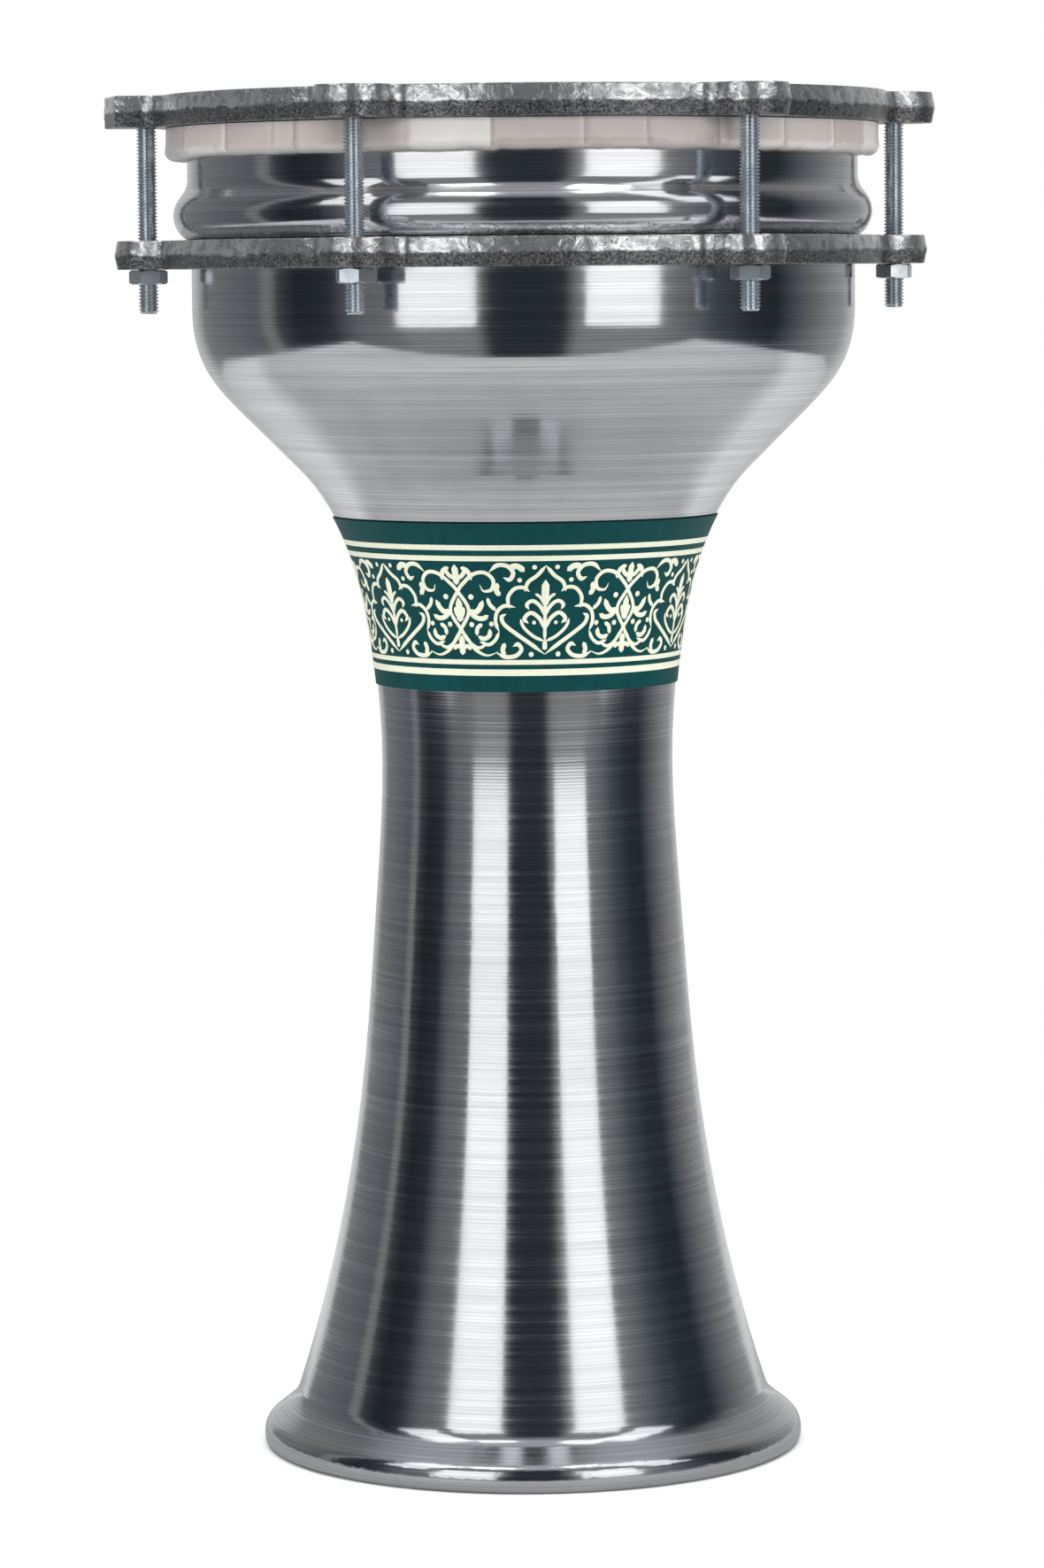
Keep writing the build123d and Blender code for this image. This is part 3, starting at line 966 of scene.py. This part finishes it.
def print_strokes(band, strokes, dots):
    """All strokes and dots of the ornament as low domed ridges of ink on the band."""
    base = band.low + FIELD_LOW * MM
    points = []
    faces = []
    profile = ((-1.0, -0.3), (-0.88, 0.7), (-0.45, 1.0), (0.45, 1.0), (0.88, 0.7), (1.0, -0.3))
    dome = ((1.0, -0.3), (0.9, 0.7), (0.5, 1.0))
    around = 18

    def on_band(centre, x, y, proud):
        angle = centre + x / REPEAT_WIDTH * math.tau / REPEATS
        return band.point(angle, base + y * MM, proud)

    for repeat in range(REPEATS):
        centre = VIEW_ANGLE + math.radians(6.5) + math.tau * repeat / REPEATS
        for order, (width, line) in enumerate(strokes):
            ink = INK * (1 + 0.035 * (order % 9))
            first = len(points)
            drawn = stroke_outline(line, width)
            for point, side, half in drawn:
                for across, proud in profile:
                    spot = point + side * half * across
                    points.append(on_band(centre, spot.x, spot.y, ink * proud))
            faces += grid_faces(len(drawn), len(profile), first=first)
            end = first + (len(drawn) - 1) * len(profile)
            faces.append(tuple(range(first + len(profile) - 1, first - 1, -1)))
            faces.append(tuple(range(end, end + len(profile))))
        for x, y, size in dots:
            first = len(points)
            for share, proud in dome:
                for step in range(around):
                    turn = math.tau * step / around
                    points.append(on_band(centre, x + size * share * math.cos(turn),
                                          y + size * share * math.sin(turn), INK * proud))
            faces += grid_faces(len(dome), around, first=first)
            faces.append(tuple(range(first + 2 * around, first + 3 * around)))
            faces.append(tuple(range(first + around - 1, first - 1, -1)))
    return mesh_object("band_ornament", points, faces, INK_SHARP)


def mirrored(strokes, axis=0.0):
    """Strokes and their mirror images across an upright line."""
    return strokes + [
        (width, [(2 * axis - x, y) for x, y in line]) for width, line in strokes
    ]


def print_lines(band):
    """The border lines as low flat ridges of ink right round the band."""
    points = []
    faces = []
    columns = 240
    edge = 0.08 * MM
    for low, high in LINES:
        first = len(points)
        bottom = band.low + low * MM
        top = band.low + high * MM
        rows = [(bottom, -0.3), (bottom + edge, 0.8)]
        rows += [(bottom + edge + (top - bottom - 2 * edge) * step / 3, 1.0)
                 for step in range(4)]
        rows += [(top - edge, 0.8), (top, -0.3)]
        for height, proud in rows:
            for column in range(columns):
                angle = math.tau * column / columns
                points.append(band.point(angle, height, 0.9 * INK * proud))
        faces += grid_faces(len(rows), columns, close_rows=True, first=first)
    return mesh_object("band_lines", points, faces, INK_SHARP)


def make_band(teal, cream):
    """The teal sleeve with its border lines and arabesque."""
    node = "neck_band"
    band = Band(node)
    dress_node(node, teal)
    dress(print_lines(band), cream, slots[node], "shell")

    strokes = mirrored(CARTOUCHE) + CARTOUCHE_MIDDLE
    strokes += mirrored(CROSSING, REPEAT_WIDTH / 2) + CROSSING_MIDDLE
    strokes += mirrored(CROSSING_LEAVES, REPEAT_WIDTH / 2) + mirrored(CORNERS)
    dots = DOTS + [(-x, y, size) for x, y, size in DOTS]
    dress(print_strokes(band, strokes, dots), cream, slots[node], "shell")


# ---- studio

def at_bearing(degrees, distance, height):
    """A place round the drum's axis, by its bearing from the camera's direction."""
    angle = VIEW_ANGLE + math.radians(degrees)
    return Vector((distance * math.cos(angle), distance * math.sin(angle), height))


def area_light(name, place, aim_height, width, height, power, mirrored_in_metal=True):
    """A rectangular light aimed at the axis; a soft fill isn't mirrored in the metal."""
    light = bpy.data.lights.new(name, "AREA")
    light.shape = "RECTANGLE"
    light.size = width
    light.size_y = height
    light.energy = power
    thing = bpy.data.objects.new(name, light)
    thing.location = place
    direction = Vector((0, 0, aim_height)) - thing.location
    thing.rotation_euler = direction.to_track_quat("-Z", "Y").to_euler()
    bpy.context.scene.collection.objects.link(thing)
    thing.visible_camera = False
    thing.visible_glossy = mirrored_in_metal


# Brightness of the room by bearing from the camera's direction, in degrees to the right
SURROUNDINGS = (
    (-180, 0.60), (-160, 0.55), (-152, 0.42), (-147, 0.24), (-133, 0.20), (-115, 0.16),
    (-104, 0.13), (-101, 0.24), (-97, 0.24), (-94, 0.06), (-84, 0.022), (-70, 0.035),
    (-58, 0.17), (-44, 0.20), (-40, 0.26), (-17, 0.26), (-12, 0.034), (14, 0.034),
    (19, 0.26), (46, 0.26), (58, 0.18), (70, 0.08), (84, 0.035), (98, 0.03), (106, 0.09),
    (114, 0.15), (124, 0.22), (134, 0.30), (146, 0.36), (152, 0.46), (164, 0.60), (180, 0.60),
)
CEILING = (0.44, 0.45, 0.47)
CEILING_FROM = 0.74  # the upward part of a direction at which the walls turn into the ceiling
CEILING_TO = 0.90


def studio_world():
    """White to the eye; to reflections, dark behind the camera and light behind the drum."""
    world = bpy.data.worlds.new("studio")
    bpy.context.scene.world = world
    world.use_nodes = True
    world.node_tree.nodes.clear()
    web = Nodes(world.node_tree)

    direction = web.node("ShaderNodeTexCoord").outputs["Generated"]
    aside = web.along(direction, RIGHT_OF_VIEW)
    ahead = web.along(direction, TOWARD_CAMERA)
    bearing = web.between(web.math("ARCTAN2", aside, ahead), -math.pi, math.pi)
    stops = []
    for degrees, level in SURROUNDINGS:
        cool = max(0.0, 0.22 - level)
        stops.append(((degrees + 180) / 360, (level * (1 - cool), level, level * (1 + cool))))
    overhead = web.between(web.upward(direction), CEILING_FROM, CEILING_TO)
    room = web.mix(overhead, web.ramp(bearing, *stops), CEILING)

    reflected = web.node("ShaderNodeBackground", {"Color": room}).outputs[0]
    seen = web.node("ShaderNodeBackground", Color=(1, 1, 1, 1)).outputs[0]
    by_eye = web.node("ShaderNodeLightPath").outputs["Is Camera Ray"]
    light = web.node("ShaderNodeMixShader", {0: by_eye, 1: reflected, 2: seen}).outputs[0]
    web.node("ShaderNodeOutputWorld", {"Surface": light})


def make_floor():
    """A pale table top that fades into the white round about; the metal mirrors it as grey.

    It is open under the drum's mouth, so that the inside is lit when it is looked at from below.
    """
    reach = 1.2
    front_edge = 0.49
    side_edge = 0.86
    fade = ((0.22, 0.0), (0.54, 1.0))  # distance from the axis, and how clear it is to the eye
    gap = 0.0002  # under the foot
    mouth = 0.75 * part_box("shell_throat")[1].x
    floor = turned("floor", even((mouth, 0.0), (reach, 0.0), 12), 96)
    if floor.data.polygons[0].normal.z < 0:
        floor.data.flip_normals()
    floor.location.z = cad_box[0].z - gap

    shader = Shader("pale_floor", Roughness=0.6, Specular_IOR_Level=0.2)
    mottle = shader.noise(shader.place, 12.0, 3.0)
    pale = shader.ramp(mottle, (0.3, 0.90), (0.7, 0.94))
    grey = shader.ramp(mottle, (0.3, 0.33), (0.7, 0.37))
    seen = shader.node("ShaderNodeLightPath").outputs["Is Camera Ray"]
    ahead = shader.along(shader.place, TOWARD_CAMERA)
    aside = shader.math("ABSOLUTE", shader.along(shader.place, RIGHT_OF_VIEW))
    # From 0.18 m behind the axis on, what the metal mirrors grows paler
    far = shader.math("MULTIPLY", shader.math("ADD", ahead, 0.18), -7.0)
    grey = shader.mix(shader.ramp(far, (0.0, 0.0), (1.0, 1.0)), grey, 0.56)
    shader.set("Base Color", shader.mix(seen, grey, pale))

    over_front = shader.math("GREATER_THAN", ahead, front_edge)
    over_side = shader.math("GREATER_THAN", aside, side_edge)
    hard_edge = shader.math("MAXIMUM", over_front, over_side)
    away = shader.node("ShaderNodeVectorMath", {0: shader.place}, operation="LENGTH")
    below = shader.node("ShaderNodeNewGeometry").outputs["Backfacing"]
    soft_edge = shader.math("MAXIMUM", shader.ramp(away.outputs["Value"], *fade), below)
    hidden = shader.mix(seen, hard_edge, soft_edge)
    clear = shader.node("ShaderNodeBsdfTransparent").outputs[0]
    solid = shader.surface.outputs[0]
    mixed = shader.node("ShaderNodeMixShader", {0: hidden, 1: solid, 2: clear})
    output = shader.tree.nodes["Material Output"]
    shader.tree.links.new(mixed.outputs[0], output.inputs["Surface"])
    floor.data.materials.append(shader.material)


def make_camera():
    """The camera at the photographed angle."""
    data = bpy.data.cameras.new("camera")
    data.lens = VIEW_LENS
    data.sensor_width = 36.0
    data.clip_start = 0.05
    camera = bpy.data.objects.new("camera", data)
    bpy.context.scene.collection.objects.link(camera)
    camera.location = at_bearing(0, VIEW_DISTANCE, VIEW_HEIGHT)
    heading = VIEW_ANGLE + math.pi + VIEW_YAW
    forward = Vector((math.cos(heading) * math.cos(VIEW_PITCH),
                      math.sin(heading) * math.cos(VIEW_PITCH), math.sin(VIEW_PITCH)))
    right = forward.cross(Vector((0, 0, 1))).normalized()
    up = right.cross(forward)
    rolled_right = right * math.cos(VIEW_ROLL) - up * math.sin(VIEW_ROLL)
    rolled_up = up * math.cos(VIEW_ROLL) + right * math.sin(VIEW_ROLL)
    camera.rotation_euler = Matrix((rolled_right, rolled_up, -forward)).transposed().to_euler()
    bpy.context.scene.camera = camera


def make_studio():
    """Camera, floor, lights and surroundings."""
    make_camera()
    make_floor()
    studio_world()
    middle = 0.55  # height of the softboxes, which the throat mirrors as its bright stripes
    for name, angle, width, power in (("left", -29, 0.60, 1.86), ("right", 33, 0.56, 1.84)):
        place = at_bearing(angle, 1.25, middle)
        area_light(f"{name}_softbox", place, middle, width, 0.9, power)
    above = cad_box[1].z + 1.8
    # Soft fills light the film, the band and the floor only
    area_light("overhead_fill", (0, 0, above), 0, 2.0, 2.0, 48.0, mirrored_in_metal=False)
    front = at_bearing(0, 2.0, 0.9)
    area_light("front_fill", front, 0.25, 2.0, 1.2, 29.0, mirrored_in_metal=False)
    for name, angle, power in (("left", -78, 13.0), ("right", 78, 15.0)):
        beside = at_bearing(angle, 1.6, 0.40)
        area_light(f"{name}_fill", beside, 0.36, 0.5, 0.5, power, mirrored_in_metal=False)
    # Small panels that the flange and the bead mirror as bright spots
    for name, angle in (("left", -62), ("right", 66)):
        area_light(f"high_{name}", at_bearing(angle, 1.25, 1.45), 0.2, 0.6, 1.1, 2.4)
    for name, ahead, x in (("left", 0.9, -0.5), ("right", 0.7, 0.6)):
        place = TOWARD_CAMERA * ahead + Vector((x, 0, above))
        area_light(f"ceiling_panel_{name}", place, 0, 0.5, 0.25, 1.2)
    settings = bpy.context.scene.view_settings
    settings.view_transform = "Standard"
    settings.look = "None"


# ---- the drum

def make_ring(name, node, metal, body, inner_round, countersunk):
    """A casting in place of a ring's CAD node."""
    ring = cast_ring(name, node, inner_round, countersunk)
    dress(ring, cast_aluminium(metal, centre_of(node).z), slots[node], body, node)


make_studio()

spun = spun_aluminium()
zinc = zinc_steel()
film = drum_film()

dress_node("shell_bowl", spun)
dress_node("shell_throat", spun)
dress_node("head_hoop", hoop_aluminium())
make_band(printed_teal(), printed_cream())
head_skin(film)
make_ring("upper_casting", "top_ring", "cast_upper", "tension_frame", 2.2 * MM, countersunk=True)
make_ring("lower_casting", "bottom_ring", "cast_lower", "shell", 1.0 * MM, countersunk=False)
make_hardware(zinc)
